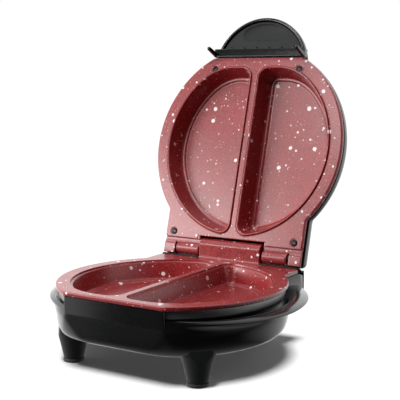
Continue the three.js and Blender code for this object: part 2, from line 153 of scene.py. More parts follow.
def plate_outline(grow=0.0, side=PLATE_SIDE, rear=PLATE_REAR, corner=3.0, notch=None):
    """Circle cut by a flat front and flat sides that run back to a straight rear edge."""
    r = PLATE_R + grow
    w = side + grow
    back = rear + grow
    front = PLATE_FRONT + grow
    fa = math.atan2(-front, math.sqrt(r * r - front * front))
    sa = math.acos(w / r)
    c = max(corner + 0.3 * grow, 0.6)
    fx = r * math.cos(fa)
    right = [(0.0, -front), (fx - 3.5, -front), (fx - 1.2, -front)]
    right += [(fx - 0.35, -front + 0.06)]
    right += arc(0, 0, r, fa + 0.006, sa - 0.012, 72)
    neck = r * math.sin(sa)
    right += [(w + 0.12, neck + 0.4), (w, neck + 2.0), (w, neck + 4.0)]
    right += arc(w - c, back - c, c, 0, math.pi / 2, 6)
    if notch:
        nx, ny = notch
        right += [(nx + 0.9, back), (nx + 0.25, back - 0.25), (nx, back - 0.9)]
        right += [(nx, ny + 0.3), (nx - 0.3, ny), (nx - 2, ny)]
    loop = mirrored(right)
    return loop[1:-1] + [(0.0, -front)]


def pocket(side, inset):
    """Half-moon loop on one side of the divider, its corners rounded, moved in by inset."""
    a = DIVIDER / 2 + inset
    r = POCKET_R - inset
    b = POCKET_FRONT - inset
    f1 = max(9 - inset * 0.7, 2.0)
    f2 = 50 - inset
    f3 = max(10 - inset * 0.7, 2.0)
    y1 = math.sqrt((r - f1) ** 2 - (a + f1) ** 2)
    x2 = math.sqrt((r - f2) ** 2 - (b - f2) ** 2)
    a1 = math.atan2(y1, a + f1)
    a2 = math.atan2(-(b - f2), x2)
    low = -(b - f3)
    loop = arc(a + f3, -(b - f3), f3, -math.pi / 2, -math.pi, 9)
    loop += [(a, low + (y1 - low) * t) for t in (0.02, 0.25, 0.5, 0.75, 0.98)]
    loop += arc(a + f1, y1, f1, math.pi, a1, 9)
    loop += arc(0, 0, r, a1 - 0.03, a2 + 0.03, 56)
    loop += arc(x2, -(b - f2), f2, a2, -math.pi / 2, 24)
    return ccw([(side * x, y) for x, y in loop])


def oval(half, front, rear, cy, y_front, y_rear, soft=1.5):
    """Oval cut straight at the front and the back, its front corners slightly rounded."""
    a0 = math.asin(max((y_front - cy) / front, -0.99))
    a1 = math.asin(min((y_rear - cy) / rear, 0.9999))

    def at(a):
        s = math.sin(a)
        return Vector((half * math.cos(a), cy + (front if s < 0 else rear) * s))

    n = 70
    da = soft / 100
    corner = at(a0)
    p0 = corner - Vector((soft, 0))
    p2 = at(a0 + da)
    right = [(corner.x * 0.4, corner.y), (corner.x - 1.2 * soft - 1.2, corner.y)]
    for i in range(5):
        t = i / 4
        q = p0 * (1 - t) ** 2 + corner * 2 * t * (1 - t) + p2 * t * t
        right.append((q.x, q.y))
    for i in range(n + 1):
        q = at(a0 + 2 * da + (a1 - a0 - 2 * da) * i / n)
        right.append((q.x, q.y))
    return mirrored(right)


def bowl(r, front, corner_x, soft=1.5):
    """Section of the lower body: corner_x is where the flat front ends."""
    b = front / math.sqrt(1 - (corner_x / r) ** 2)
    return oval(r, b, r, 0, -front, r * 0.9995, soft=soft)


def flange():
    """Outer edge of the flange round the lower body."""
    return oval(*FLANGE_TIP, 5, -PLATE_FRONT + 0.5, 102)


def grip(r, cut_y, n=64):
    """Front arc of the handle, ended by the line y = cut_y."""
    a = math.asin((HANDLE_Y - cut_y) / r)
    return arc(0, HANDLE_Y, r, math.pi + a, 2 * math.pi - a, n)


def mix(a, b, t):
    return [(p[0] + (q[0] - p[0]) * t, p[1] + (q[1] - p[1]) * t) for p, q in zip(a, b)]


# ---------------------------------------------------------------- mesh building
def flat(loop, z):
    return [(x, y, z) for x, y in loop]


def add_ring(bm, points):
    return [bm.verts.new(p) for p in points]


def bridge(bm, a, b, mat=0):
    n = len(a)
    for i in range(n):
        f = bm.faces.new((a[i], a[(i + 1) % n], b[(i + 1) % n], b[i]))
        f.material_index = mat


def skin(bm, rings, cap0=True, cap1=True, closed=False, mat=0):
    """Quads between rings of points; returns the first and last ring of vertices."""
    rows = [add_ring(bm, r) for r in rings]
    for a, b in zip(rows, rows[1:]):
        bridge(bm, a, b, mat)
    if closed:
        bridge(bm, rows[-1], rows[0], mat)
        return rows[0], rows[-1]
    if cap0:
        bm.faces.new(rows[0][::-1]).material_index = mat
    if cap1:
        bm.faces.new(rows[-1]).material_index = mat
    return rows[0], rows[-1]


def sheet_between(bm, outer, holes):
    """Flat face inside the outer ring of vertices and outside each hole ring."""
    edges = []
    for ring in [outer] + holes:
        for i, v in enumerate(ring):
            w = ring[(i + 1) % len(ring)]
            edges.append(bm.edges.get((v, w)) or bm.edges.new((v, w)))
    bmesh.ops.triangle_fill(bm, use_beauty=True, use_dissolve=False, edges=edges)


def prism_x(bm, profile, x0, x1, bevel=0.5, mat=0):
    """Profile of (y, z) points drawn along X, with its ends chamfered."""
    loop = ccw(profile)
    steps = [(0, -bevel), (bevel * 0.3, -bevel * 0.3), (bevel, 0), (bevel * 1.6, 0)]
    ends = [(x0 + x, d) for x, d in steps] + [(x1 - x, d) for x, d in reversed(steps)]
    skin(bm, [[(x, y, z) for y, z in offset(loop, d)] for x, d in ends], mat=mat)


def lathe(bm, profile, origin, axis="Z", n=48, closed=False):
    """Turns (radius, height) pairs about an axis through origin."""
    rings = []
    for r, h in profile:
        ring = []
        for i in range(n):
            a = 2 * math.pi * i / n
            u, v = r * math.cos(a), r * math.sin(a)
            p = {"Z": (u, v, h), "X": (h, u, v)}[axis]
            ring.append((origin[0] + p[0], origin[1] + p[1], origin[2] + p[2]))
        rings.append(ring)
    skin(bm, rings, closed=closed)


def soft_profile(points, r, n=4):
    """Rounds every corner of a closed (y, z) profile by about r."""
    out = []
    m = len(points)
    for i, p in enumerate(points):
        p = Vector(p)
        a = Vector(points[i - 1]) - p
        b = Vector(points[(i + 1) % m]) - p
        k = min(r, a.length * 0.45, b.length * 0.45)
        p0 = p + a.normalized() * k
        p2 = p + b.normalized() * k
        for j in range(n + 1):
            t = j / n
            q = p0 * (1 - t) ** 2 + p * 2 * t * (1 - t) + p2 * t * t
            out.append((q.x, q.y))
    return out


PIECES = {}
SHARP = math.radians(32)


def shade(mesh):
    mesh.polygons.foreach_set("use_smooth", [True] * len(mesh.polygons))
    mesh.set_sharp_from_angle(angle=SHARP)


def piece(name, bm, place, mats, body, nodes=()):
    """Turns drawing millimetres into the frame's metres and hands the piece to its body."""
    bmesh.ops.remove_doubles(bm, verts=bm.verts, dist=1e-5)
    bmesh.ops.recalc_face_normals(bm, faces=bm.faces)
    for v in bm.verts:
        v.co = place(v.co)
    mesh = bpy.data.meshes.new(name)
    bm.to_mesh(mesh)
    bm.free()
    shade(mesh)
    for m in mats:
        mesh.materials.append(m)
    obj = bpy.data.objects.new(name, mesh)
    bpy.context.scene.collection.objects.link(obj)
    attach(obj, body)
    PIECES.setdefault(body, []).append(obj)
    if nodes:
        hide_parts(*nodes)
    return obj


def cut(target, cutter_bm, place):
    """Boolean difference, applied at once; the cutter is thrown away."""
    bmesh.ops.recalc_face_normals(cutter_bm, faces=cutter_bm.faces)
    for v in cutter_bm.verts:
        v.co = place(v.co)
    mesh = bpy.data.meshes.new("cutter")
    cutter_bm.to_mesh(mesh)
    cutter_bm.free()
    tool = bpy.data.objects.new("cutter", mesh)
    bpy.context.scene.collection.objects.link(tool)
    mod = target.modifiers.new("cut", "BOOLEAN")
    mod.operation = "DIFFERENCE"
    mod.solver = "EXACT"
    mod.use_self = True
    mod.object = tool
    bpy.context.view_layer.update()
    deps = bpy.context.evaluated_depsgraph_get()
    result = bpy.data.meshes.new_from_object(target.evaluated_get(deps))
    target.modifiers.remove(mod)
    target.data = result
    shade(result)
    bpy.data.objects.remove(tool)


# ---------------------------------------------------------------- materials
class Look:
    """Small helper that wires a Principled material."""

    def __init__(self, name):
        self.mat = bpy.data.materials.new(name)
        self.mat.use_nodes = True
        self.nt = self.mat.node_tree
        self.bsdf = self.nt.nodes["Principled BSDF"]
        self.coord = self.nt.nodes.new("ShaderNodeTexCoord").outputs["Object"]

    def node(self, kind, **values):
        n = self.nt.nodes.new(kind)
        for k, v in values.items():
            if hasattr(n, k):
                setattr(n, k, v)
            else:
                n.inputs[k].default_value = v
        return n

    def link(self, a, b):
        self.nt.links.new(a, b)

    def noise(self, scale, detail=3.0, rough=0.5, vector=None):
        n = self.node("ShaderNodeTexNoise", Scale=scale, Detail=detail, Roughness=rough)
        self.link(vector or self.coord, n.inputs["Vector"])
        return n.outputs["Fac"]

    def span(self, value, a, b, c, d):
        n = self.node("ShaderNodeMapRange")
        for k, v in (("From Min", a), ("From Max", b), ("To Min", c), ("To Max", d)):
            n.inputs[k].default_value = v
        self.link(value, n.inputs["Value"])
        return n.outputs["Result"]

    def math(self, op, a, b):
        n = self.node("ShaderNodeMath", operation=op)
        for i, v in enumerate((a, b)):
            if isinstance(v, (int, float)):
                n.inputs[i].default_value = v
            else:
                self.link(v, n.inputs[i])
        return n.outputs[0]

    def blend(self, fac, a, b):
        n = self.node("ShaderNodeMix", data_type="RGBA")
        self.link(fac, n.inputs[0])
        for i, v in ((6, a), (7, b)):
            if isinstance(v, tuple):
                n.inputs[i].default_value = (*v, 1)
            else:
                self.link(v, n.inputs[i])
        return n.outputs[2]

    def bump(self, height, strength, distance):
        n = self.node("ShaderNodeBump", Strength=strength, Distance=distance)
        self.link(height, n.inputs["Height"])
        self.link(n.outputs["Normal"], self.bsdf.inputs["Normal"])

    def colour(self, socket):
        self.link(socket, self.bsdf.inputs["Base Color"])

    def rough(self, socket):
        self.link(socket, self.bsdf.inputs["Roughness"])

    def set(self, **values):
        for k, v in values.items():
            key = k.replace("_", " ")
            self.bsdf.inputs[key].default_value = v


def speckle_layer(look, cell_mm, max_r_mm, share, power, seed):
    """Round paint spots: one Voronoi cell may hold one spot of its own radius."""
    shift = look.node("ShaderNodeVectorMath", operation="ADD")
    look.link(look.coord, shift.inputs[0])
    shift.inputs[1].default_value = (seed, seed * 0.37, seed * 1.71)
    warp = look.node("ShaderNodeTexNoise", Scale=420.0, Detail=1.0)
    look.link(look.coord, warp.inputs["Vector"])
    bend = look.node("ShaderNodeVectorMath", operation="MULTIPLY_ADD")
    look.link(warp.outputs["Color"], bend.inputs[0])
    bend.inputs[1].default_value = (0.0009, 0.0009, 0.0009)
    look.link(shift.outputs[0], bend.inputs[2])
    v = look.node("ShaderNodeTexVoronoi", Scale=1000.0 / cell_mm)
    look.link(bend.outputs[0], v.inputs["Vector"])
    sep = look.node("ShaderNodeSeparateColor")
    look.link(v.outputs["Color"], sep.inputs[0])
    present = look.math("GREATER_THAN", sep.outputs[1], 1 - share)
    size = look.math("POWER", sep.outputs[0], power)
    radius = look.math("MULTIPLY", look.math("MULTIPLY", size, present), max_r_mm / cell_mm)
    gap = look.math("SUBTRACT", radius, v.outputs["Distance"])
    return look.span(gap, 0.0, 0.12 / cell_mm, 0.0, 1.0)


# paint spots: cell and largest radius in mm, share of cells used, power of the radius, seed
SPECKLES = [
    (11.5, 2.3, 0.62, 0.7, 0.13),
    (7, 1.35, 0.7, 0.9, 0.71),
    (3.8, 0.72, 0.62, 0.9, 0.29),
    (2.2, 0.40, 0.62, 0.9, 0.47),
]


def coating():
    k = Look("speckled_red_coating")
    grain = k.noise(1500, 1.0, 0.5)
    cloud = k.noise(28, 3.0, 0.5)
    red = k.blend(k.span(cloud, 0.35, 0.65, 0, 1), (0.190, 0.0065, 0.0090), (0.255, 0.0090, 0.0120))
    red = k.blend(k.span(grain, 0.46, 0.66, 0, 1), red, (0.42, 0.05, 0.052))
    spots = None
    for row in SPECKLES:
        layer = speckle_layer(k, *row)
        spots = layer if spots is None else k.math("MAXIMUM", spots, layer)
    k.colour(k.blend(spots, red, (0.93, 0.86, 0.85)))
    k.rough(k.span(grain, 0.3, 0.7, 0.25, 0.38))
    height = k.math("ADD", k.math("MULTIPLY", grain, 0.5), k.math("MULTIPLY", spots, 0.6))
    k.bump(height, 0.6, 0.00025)
    k.set(IOR=1.5, Specular_IOR_Level=0.5, Coat_Weight=0.12, Coat_Roughness=0.2)
    return k.mat


def gloss_black():
    k = Look("gloss_black_moulding")
    cloud = k.noise(40, 4.0, 0.55)
    fine = k.noise(900, 2.0, 0.5)
    patch = k.span(cloud, 0.3, 0.7, 0, 1)
    k.colour(k.blend(patch, (0.0040, 0.0042, 0.0045), (0.0072, 0.0074, 0.0078)))
    k.rough(k.span(fine, 0.3, 0.7, 0.13, 0.22))
    k.bump(k.math("ADD", cloud, k.math("MULTIPLY", fine, 0.15)), 0.08, 0.0003)
    k.set(IOR=1.45, Specular_IOR_Level=0.45)
    return k.mat


def satin_black_painted_sheen():
    k = Look("black_moulding_painted_sheen")
    fine = k.noise(1100, 3.0, 0.6)
    # the grey base colour is painted sheen standing in for light reflected off this black wall;
    # only the roughness is the real satin finish
    k.colour(k.blend(fine, (0.060, 0.064, 0.064), (0.110, 0.116, 0.116)))
    k.rough(k.span(fine, 0.3, 0.7, 0.30, 0.42))
    k.bump(fine, 0.2, 0.0001)
    k.set(IOR=1.6, Specular_IOR_Level=0.9)
    return k.mat


def matt_black():
    k = Look("matt_black_moulding")
    fine = k.noise(1400, 3.0, 0.6)
    k.colour(k.blend(fine, (0.009, 0.0095, 0.010), (0.022, 0.023, 0.024)))
    k.rough(k.span(fine, 0.3, 0.7, 0.5, 0.68))
    k.set(Specular_IOR_Level=0.22)
    k.bump(fine, 0.4, 0.00015)
    return k.mat


def rubber():
    k = Look("foot_rubber")
    fine = k.noise(700, 3.0, 0.6)
    k.colour(k.blend(fine, (0.010, 0.010, 0.010), (0.028, 0.028, 0.028)))
    k.rough(k.span(fine, 0.3, 0.7, 0.6, 0.85))
    k.bump(fine, 0.3, 0.0002)
    return k.mat


def steel(name, low, high, rough0, rough1):
    k = Look(name)
    stretch = k.node("ShaderNodeMapping")
    stretch.inputs["Scale"].default_value = (1, 12, 12)
    k.link(k.coord, stretch.inputs["Vector"])
    lines = k.noise(260, 4.0, 0.6, stretch.outputs[0])
    k.colour(k.blend(lines, low, high))
    k.rough(k.span(lines, 0.3, 0.7, rough0, rough1))
    k.bump(lines, 0.15, 0.0001)
    k.set(Metallic=1.0)
    return k.mat


def ceramic():
    k = Look("unglazed_ceramic")
    fine = k.noise(500, 4.0, 0.6)
    k.colour(k.blend(fine, (0.62, 0.58, 0.50), (0.80, 0.77, 0.70)))
    k.rough(k.span(fine, 0.3, 0.7, 0.55, 0.75))
    k.bump(fine, 0.3, 0.0002)
    return k.mat


def lens_red():
    k = Look("lamp_lens_red")
    fine = k.noise(220, 2.0, 0.5)
    k.colour(k.blend(fine, (0.30, 0.006, 0.008), (0.48, 0.016, 0.018)))
    k.rough(k.span(fine, 0.3, 0.7, 0.10, 0.18))
    k.bump(fine, 0.05, 0.0002)
    k.set(Coat_Weight=0.4)
    return k.mat


def floor_white():
    k = Look("studio_floor")
    cloud = k.noise(3, 2.0, 0.5)
    k.colour(k.blend(cloud, (0.93, 0.93, 0.93), (0.96, 0.96, 0.96)))
    k.set(Roughness=0.9, Specular_IOR_Level=0.1)
    k.set(Emission_Color=(1, 1, 1, 1), Emission_Strength=0.032)
    return k.mat


RED = coating()
BLACK = gloss_black()
SATIN_PAINTED_SHEEN = satin_black_painted_sheen()
MATT = matt_black()
RUBBER = rubber()
STEEL = steel("bright_steel", (0.42, 0.43, 0.44), (0.66, 0.67, 0.68), 0.22, 0.38)
DARK_STEEL = steel("dark_steel", (0.006, 0.006, 0.0065), (0.024, 0.024, 0.026), 0.25, 0.4)
CERAMIC = ceramic()
LENS = lens_red()


# ---------------------------------------------------------------- cooking plates
# pocket wall and floor as (inset, depth), and the back of the casting under it
FLOOR = [(3.6, -13.6), (3.95, -15.2), (4.45, -16.4), (5.2, -17.05), (6.0, -17.2), (6.7, -17.22),
         (7.2, -17.4), (7.6, -17.9), (8.1, -18.35), (8.8, -18.5), (9.6, -18.5), (11.0, -18.5)]
SHELL = [(-1.9, -RIM), (-1.9, -RIM - 0.5), (1.9, -17.0), (4.6, -20.4), (6.4, -21.0)]
LOWER_EDGE = [(-1.7, 0), (-1.0, 0), (-0.5, -0.1), (-0.15, -0.4), (0, -0.85), (0, -RIM + 0.7),
              (-0.15, -RIM + 0.25), (-0.6, -RIM), (-1.4, -RIM)]
SEAT = [(-3.0, 0), (-2.55, 0), (-2.32, -0.1), (-2.2, -0.32), (-2.2, -1.3), (-2.05, -1.58),
        (-1.75, -1.7), (-1.1, -1.7), (-0.6, -1.78), (-0.2, -2.05), (0.05, -2.5), (0.4, -3.4)]
KNUCKLE = [(93, -RIM), (93, -0.8), (95.4, -0.4), (96.4, 0.8), (96.4, 13.6), (99.2, 17.0),
           (103.6, 17.7), (108.6, 16.6), (112.6, 12.6), (114.4, 6), (113.2, 1), (110, -RIM)]
UPPER_EDGE = [(-1.4, -0.5), (-0.7, -0.5), (-0.3, -0.6), (-0.08, -0.85), (0, -1.2), (0, -RIM + 0.6),
              (-0.15, -RIM + 0.2), (-0.5, -RIM), (-1.2, -RIM)]
LIP = [(-1.3, 0), (-0.7, 0), (-0.3, -0.08), (-0.05, -0.3), (0, -0.6), (0, -1.0), (-1.0, -1.0)]
BEAD = [(-3.9, 0), (-3.2, 0), (-2.85, -0.08), (-2.6, -0.36), (-2.3, -0.5), (-2.0, -0.4),
        (-1.8, 0.1), (-1.7, 0.8), (-1.5, 1.2), (-1.15, 1.3), (-0.75, 1.24), (-0.4, 0.95),
        (-0.1, 0.3), (0.12, -0.5), (0.42, -1.7)]
SCREW_RECESS = [(0.6, 0), (0.25, 0), (0.06, -0.06), (0, -0.22), (0, -0.9), (-2.0, -0.9)]
# (radius, x) loop round one hinge barrel, with a fine groove near its outer end
BARREL = [(2.9, 34.6), (5.6, 34.6), (6.2, 34.8), (6.5, 35.3), (6.5, 36), (6.5, 56.8),
          (6.5, 57.3), (6.25, 57.5), (6.25, 57.9), (6.5, 58.1), (6.5, 59.2), (6.2, 59.8),
          (5.6, 60.0), (2.9, 60.0)]
# (y, z) sections of the strip behind the lid's plate, the web to the barrel and the corner block
STRIP = [(92.5, LID_FACE + 1.5), (98.8, LID_FACE + 1.6), (98.8, LID_FACE + RIM),
         (92.5, LID_FACE + RIM)]
WEB = [(95, 2.2), (99, 2.2), (101, 5.5), (101, 8.6), (98.6, 9), (95, 4)]
BLOCK = [(97.4, 1.6), (99.6, 1.6), (100.2, LID_FACE + 0.1), (109.2, LID_FACE + 0.3),
         (109.6, LID_FACE + 1.0), (109.6, LID_FACE + RIM), (97.4, LID_FACE + RIM)]


def rings_of(loop_of, profile, height):
    return [flat(loop_of(g), height(w)) for g, w in profile]


def slab(bm, outline, edge, holes, height):
    """Plate with pockets. edge is the (grow, w) profile from the face round to the back. Each hole
    is (loop function, face profile, back profile): None for the back means right through, and an
    empty one means blind with a plain back."""
    loop = ccw(outline)
    rings = [flat(offset(loop, g), height(w)) for g, w in edge]
    top, bottom = skin(bm, rings, cap0=False, cap1=False)
    tops, bottoms = [], []
    for loop_of, face, back in holes:
        a, b = skin(bm, rings_of(loop_of, face, height), cap0=False, cap1=back is not None)
        tops.append(a)
        if back is None:
            bottoms.append(b)
        elif back:
            c, _ = skin(bm, rings_of(loop_of, back, height), cap0=False, cap1=True)
            bottoms.append(c)
    sheet_between(bm, top, tops)
    sheet_between(bm, bottom, bottoms)


def pocket_pair(face, back):
    return [(lambda g, s=s: pocket(s, g), face, back) for s in (-1, 1)]


def screw_circle(x, y, grow):
    return ccw(arc(x, y, SCREW_SEAT_R + grow, 0, 2 * math.pi * 39 / 40, 39))


def lower_plate():
    bm = bmesh.new()
    slab(bm, plate_outline(), LOWER_EDGE, pocket_pair(SEAT + FLOOR, SHELL), lambda w: w)
    prism_x(bm, soft_profile(KNUCKLE, 1.4, 4), -KNUCKLE_HALF, KNUCKLE_HALF, 0.7)
    piece("lower_plate_cast", bm, base_place, [RED], "base", ["lower_plate"])


def upper_plate():
    bm = bmesh.new()

    def height(w):
        return LID_FACE - w

    full = plate_outline(notch=(NOTCH_HALF, 90.0))
    slab(bm, full, UPPER_EDGE, pocket_pair([(-3.6, -0.5), (-3.6, -RIM)], None), height)
    raised = plate_outline(grow=-0.9, rear=95.0, notch=(NOTCH_HALF + 2.4, 90.6))
    holes = pocket_pair(BEAD + FLOOR, [(-2.6, -1.0)] + SHELL)
    for x, y in PLATE_SCREWS:
        holes.append((lambda g, x=x, y=y: screw_circle(x, y, g), SCREW_RECESS, []))
    slab(bm, raised, LIP, holes, height)
    for s in (-1, 1):
        prism_x(bm, soft_profile(STRIP, 0.3, 2), *sorted((s * 34.6, s * 74.2)), 0.3)
        prism_x(bm, WEB, *sorted((s * 35.6, s * 59)), 0.2)
        barrel = [(r, s * x) for r, x in BARREL]
        lathe(bm, barrel, (0, HINGE_Y, HINGE_Z), "X", 56, closed=True)
        prism_x(bm, soft_profile(BLOCK, 0.45, 3), *sorted((s * 62.0, s * 74.4)), 0.5)
    piece("upper_plate_cast", bm, lid_place, [RED], "lid", ["upper_plate"])


# ---------------------------------------------------------------- lower body
# (radius, front moved back by, end of the flat front, corner, z), from the bottom up
BOWL = [
    (88, 8.6, 43.5, 19, -39.6), (88, 8.6, 43.5, 19, -41.9), (88.6, 8.2, 43.8, 19, -42.05),
    (90.6, 7.0, 44.6, 19, -42.0), (92.8, 5.6, 45.6, 18, -41.6), (94.8, 4.2, 46.6, 17, -40.7),
    (96.4, 3.0, 47.4, 16, -39.4), (97.6, 2.1, 48.0, 14, -37.8), (98.5, 1.55, 48.4, 12, -36.0),
    (99.2, 1.25, 48.7, 10, -34.0), (100.2, 1.0, 49.0, 6.5, -30), (101.0, 0.8, 49.3, 3.5, -26),
    (101.6, 0.65, 49.6, 2, -23),
]
# (share of the flange, z): out along its underside, then back in over the groove behind it
FLANGE_UNDER = [(0, -21.0), (0.08, -20.0), (0.22, -19.0), (0.42, -17.9), (0.64, -16.9),
                (0.84, -16.1), (0.95, -15.6), (0.99, -15.2), (1.0, -14.8), (0.995, -14.4),
                (0.97, -13.95)]
FLANGE_OVER = [(0.9, -13.2), (0.8, -12.45), (0.7, -11.95), (0.6, -11.75), (0.52, -11.85),
               (0.45, -12.3), (0.37, -13.2), (0.27, -14.6), (0.16, -15.7), (0.06, -16.2),
               (0.01, -16.2), (0, -15.9), (0, -15.0), (0, -11.0)]
# same columns as BOWL, for the inside of the wall from the top down
BOWL_INSIDE = [
    (91.8, 3.4, 46, 1.5, -11.0), (91.8, 3.4, 46, 1.5, -17.6), (97.2, 3.6, 47, 1.5, -24.4),
    (96.6, 4.2, 46.6, 1.5, -28), (94.0, 5.2, 45.6, 1.5, -34), (82, 14, 42, 1.5, -36.4),
    (82, 14, 42, 1.5, -39.6),
]
WALL = [(-3.4, -3.9), (-2.9, -4.0), (-2.65, -4.5), (-2.6, -5.2), (-2.6, -9.6), (-2.75, -10.2),
        (-3.2, -10.55), (-4.0, -10.6), (-5.0, -10.7), (-5.4, -11.2), (-5.4, -17.5), (-7.6, -17.5),
        (-7.6, -3.9)]
# front panel up to the plate: (z, distance behind the plate's front, half width)
FRONT_PANEL = [(-3.9, 0.25, 49.2), (-10, 0.3, 49.4), (-15, 0.4, 49.5), (-20, 0.55, 49.4)]
STOP = [(102, -20), (110, -20), (113, -16), (113, -4.8), (102, -4.8)]
RAIL_GAP = 34
END_WALL = 2.6


def bowl_rings(table):
    return [flat(bowl(r, PLATE_FRONT - back, x, soft), z) for r, back, x, soft, z in table]


def lower_housing():
    bm = bmesh.new()
    rim_out = bowl(102.4, PLATE_FRONT - 0.5, 49.7)
    neck = bowl(95.0, PLATE_FRONT - 1.0, 47.5)
    wing = flange()
    rings = bowl_rings(BOWL)
    rings += [flat(mix(rim_out, wing, t), z) for t, z in FLANGE_UNDER]
    rings += [flat(mix(neck, wing, t), z) for t, z in FLANGE_OVER]
    rings += bowl_rings(BOWL_INSIDE)
    skin(bm, rings, closed=True)
    # upright wall under the plate, with a satin face; its grey colour is painted sheen
    skin(bm, [flat(plate_outline(g), z) for g, z in WALL], closed=True, mat=1)
    front = []
    for z, back, w in FRONT_PANEL:
        y = PLATE_FRONT - back
        corners = [(-w, -y), (w, -y), (w, -y + 4.2), (-w, -y + 4.2)]
        front.append(flat(soft_profile(corners, 1.3, 5), z))
    skin(bm, front)
    # small black tab over the middle of the plate's front rim: a dark piece put there as painted
    # shade for the notch in the rim
    y = -PLATE_FRONT
    tab = [(y + 0.1, -4.6), (y + 0.1, -2.4), (y + 0.7, -2.4), (y + 1.6, -4.6)]
    prism_x(bm, soft_profile(tab, 0.15, 2), -6.5, 6.5, 0.8)
    piece("lower_housing_shell", bm, base_place, [BLACK, SATIN_PAINTED_SHEEN], "base", ["lower_housing"])


def rear_block():
    """Hollow rail with the hinge trough, open in the middle for the knuckle, and two end walls."""
    bm = bmesh.new()
    step = REAR_BLOCK_STEP
    trough = arc(HINGE_Y, HINGE_Z, 8.4, math.radians(218), math.radians(252), 6)
    trough += arc(HINGE_Y, HINGE_Z, 9.6, math.radians(255), math.radians(284), 6)
    back = [(105.9, -4.2), (106, -6.6), (106, -26), (105.2, -28.4)]
    back += [(103, BODY_FLOOR), (62, BODY_FLOOR)]
    inner = [(62, -27.3), (102.2, -27.3), (103.4, -26), (103.4, -8.6), (101.6, -6.6), (97.4, -5.2)]
    rail = [(95.05, -5.2), (95.05, 0.45), (95.4, 0.8), (96.5, 0.8)] + trough + back + inner
    middle = [(90, -5.2), (90, step), (103, step)] + trough[-2:] + back + inner
    prism_x(bm, rail, -PLATE_SIDE, -RAIL_GAP, 0.25)
    prism_x(bm, rail, RAIL_GAP, PLATE_SIDE, 0.25)
    prism_x(bm, middle, -RAIL_GAP - 0.2, RAIL_GAP + 0.2, 0.25)
    wall_end = [(60, BODY_FLOOR), (60, step), (95.05, step)] + rail[1:4] + trough + back[:-1]
    prism_x(bm, wall_end, -PLATE_SIDE, -PLATE_SIDE + END_WALL, 0.5)
    prism_x(bm, wall_end, PLATE_SIDE - END_WALL, PLATE_SIDE, 0.5)
    for x in (-43, 43):
        prism_x(bm, soft_profile(STOP, 0.8, 3), x - 3, x + 3, 0.5)
    piece("lower_housing_rear", bm, base_place, [BLACK], "base")


# (radius, height above the floor) of a leg and of its pad
LEG = [(6.0, 3.1), (8.2, 3.1), (8.65, 3.3), (8.85, 3.9), (9.3, 6), (10.3, 10.5), (11.2, 14.5),
       (12.0, 18), (12.7, 20.8), (13.3, 22.8), (13.9, 24.2), (14.5, 25.2), (15.0, 26.5),
       (15.4, 28.5), (15.4, 31.5), (10, 31.6)]
PAD = [(7.4, 0), (8.5, 0), (9.05, 0.35), (9.25, 0.9), (9.2, 2.2), (8.95, 2.8), (8.4, 3.0), (6, 3.0)]
# (height above the floor, furthest a leg may reach from the middle of the plate)
LEG_REACH = [(12, 103.0), (19, 99.4), (24, 98.5), (31.5, 98.3), (40, 98.2)]


def leg(i, spot):
    bm = bmesh.new()
    lathe(bm, [(r, GROUND + h) for r, h in LEG], (*spot, 0), n=72)
    limits = [(GROUND + h, reach) for h, reach in LEG_REACH]
    for v in bm.verts:
        far = math.hypot(v.co.x, v.co.y)
        for (z0, r0), (z1, r1) in zip(limits, limits[1:]):
            if z0 <= v.co.z <= z1:
                most = r0 + (r1 - r0) * (v.co.z - z0) / (z1 - z0)
                if far > most:
                    v.co.x *= most / far
                    v.co.y *= most / far
                break
    piece(f"leg_turned_{i}", bm, base_place, [MATT], "base", [f"leg_{i}"])
    bm = bmesh.new()
    lathe(bm, [(r, GROUND + h) for r, h in PAD], (*spot, 0), n=48)
    piece(f"foot_pad_moulded_{i}", bm, base_place, [RUBBER], "base", [f"foot_pad_{i}"])


# ---------------------------------------------------------------- lid body
def lid_loop(inset):
    return plate_outline(-inset, LID_SIDE, LID_REAR, 4.5)


def box(x0, x1, y0, y1, zs):
    return [[(x0, y0, z), (x1, y0, z), (x1, y1, z), (x0, y1, z)] for z in zs]


def upper_housing():
    bm = bmesh.new()
    z0 = LID_FACE + RIM + 0.3
    outer = [(4.0, z0), (2.1, z0), (2.0, z0 + 0.2), (2.0, z0 + 0.9), (0.9, z0 + 1.1),
             (0.3, z0 + 1.25), (0.04, z0 + 1.6), (0.0, z0 + 2.2)]
    inner = [(4.0, z0)]
    r = LID_SHOULDER
    for i in range(14):
        a = math.radians(i * 78 / 13)
        outer.append((r * (1 - math.cos(a)), 9 + r * math.sin(a)))
    for deg in (0, 27, 54, 78):
        a = math.radians(deg)
        inner.append((r * (1 - math.cos(a)) + 2.6, 9 + (r - 2.4) * math.sin(a)))
    last_inset, last_z = outer[-1]
    for t in (0.12, 0.25, 0.4, 0.55, 0.7, 0.85, 1.0):
        rise = math.sin(t * math.pi / 2)
        outer.append((last_inset + (60 - last_inset) * t, last_z + (LID_TOP - last_z) * rise))
    inner += [(32, 27.6), (60, 33.4)]
    for profile in (outer, inner):
        skin(bm, [flat(lid_loop(e), z) for e, z in profile], cap0=False)
    shell = piece("upper_housing_shell", bm, lid_place, [BLACK], "lid", ["upper_housing"])
    # room for the knuckle and the barrels, and the two lamp holes
    tool = bmesh.new()
    axis = (0, HINGE_Y, HINGE_Z)
    lathe(tool, [(13.3, -35.5), (13.3, 35.5)], axis, "X", 72)
    lathe(tool, [(7.5, -61.8), (7.5, 61.8)], axis, "X", 56)
    skin(tool, box(-35.5, 35.5, 90.3, 125, (-2, HINGE_Z)))
    skin(tool, box(-61.8, 61.8, 96.2, 125, (-2, HINGE_Z)))
    for x in (-LENS_X, LENS_X):
        lathe(tool, [(3.6, 20), (3.6, 45)], (x, LENS_Y, 0), "Z", 32)
    cut(shell, tool, lid_place)


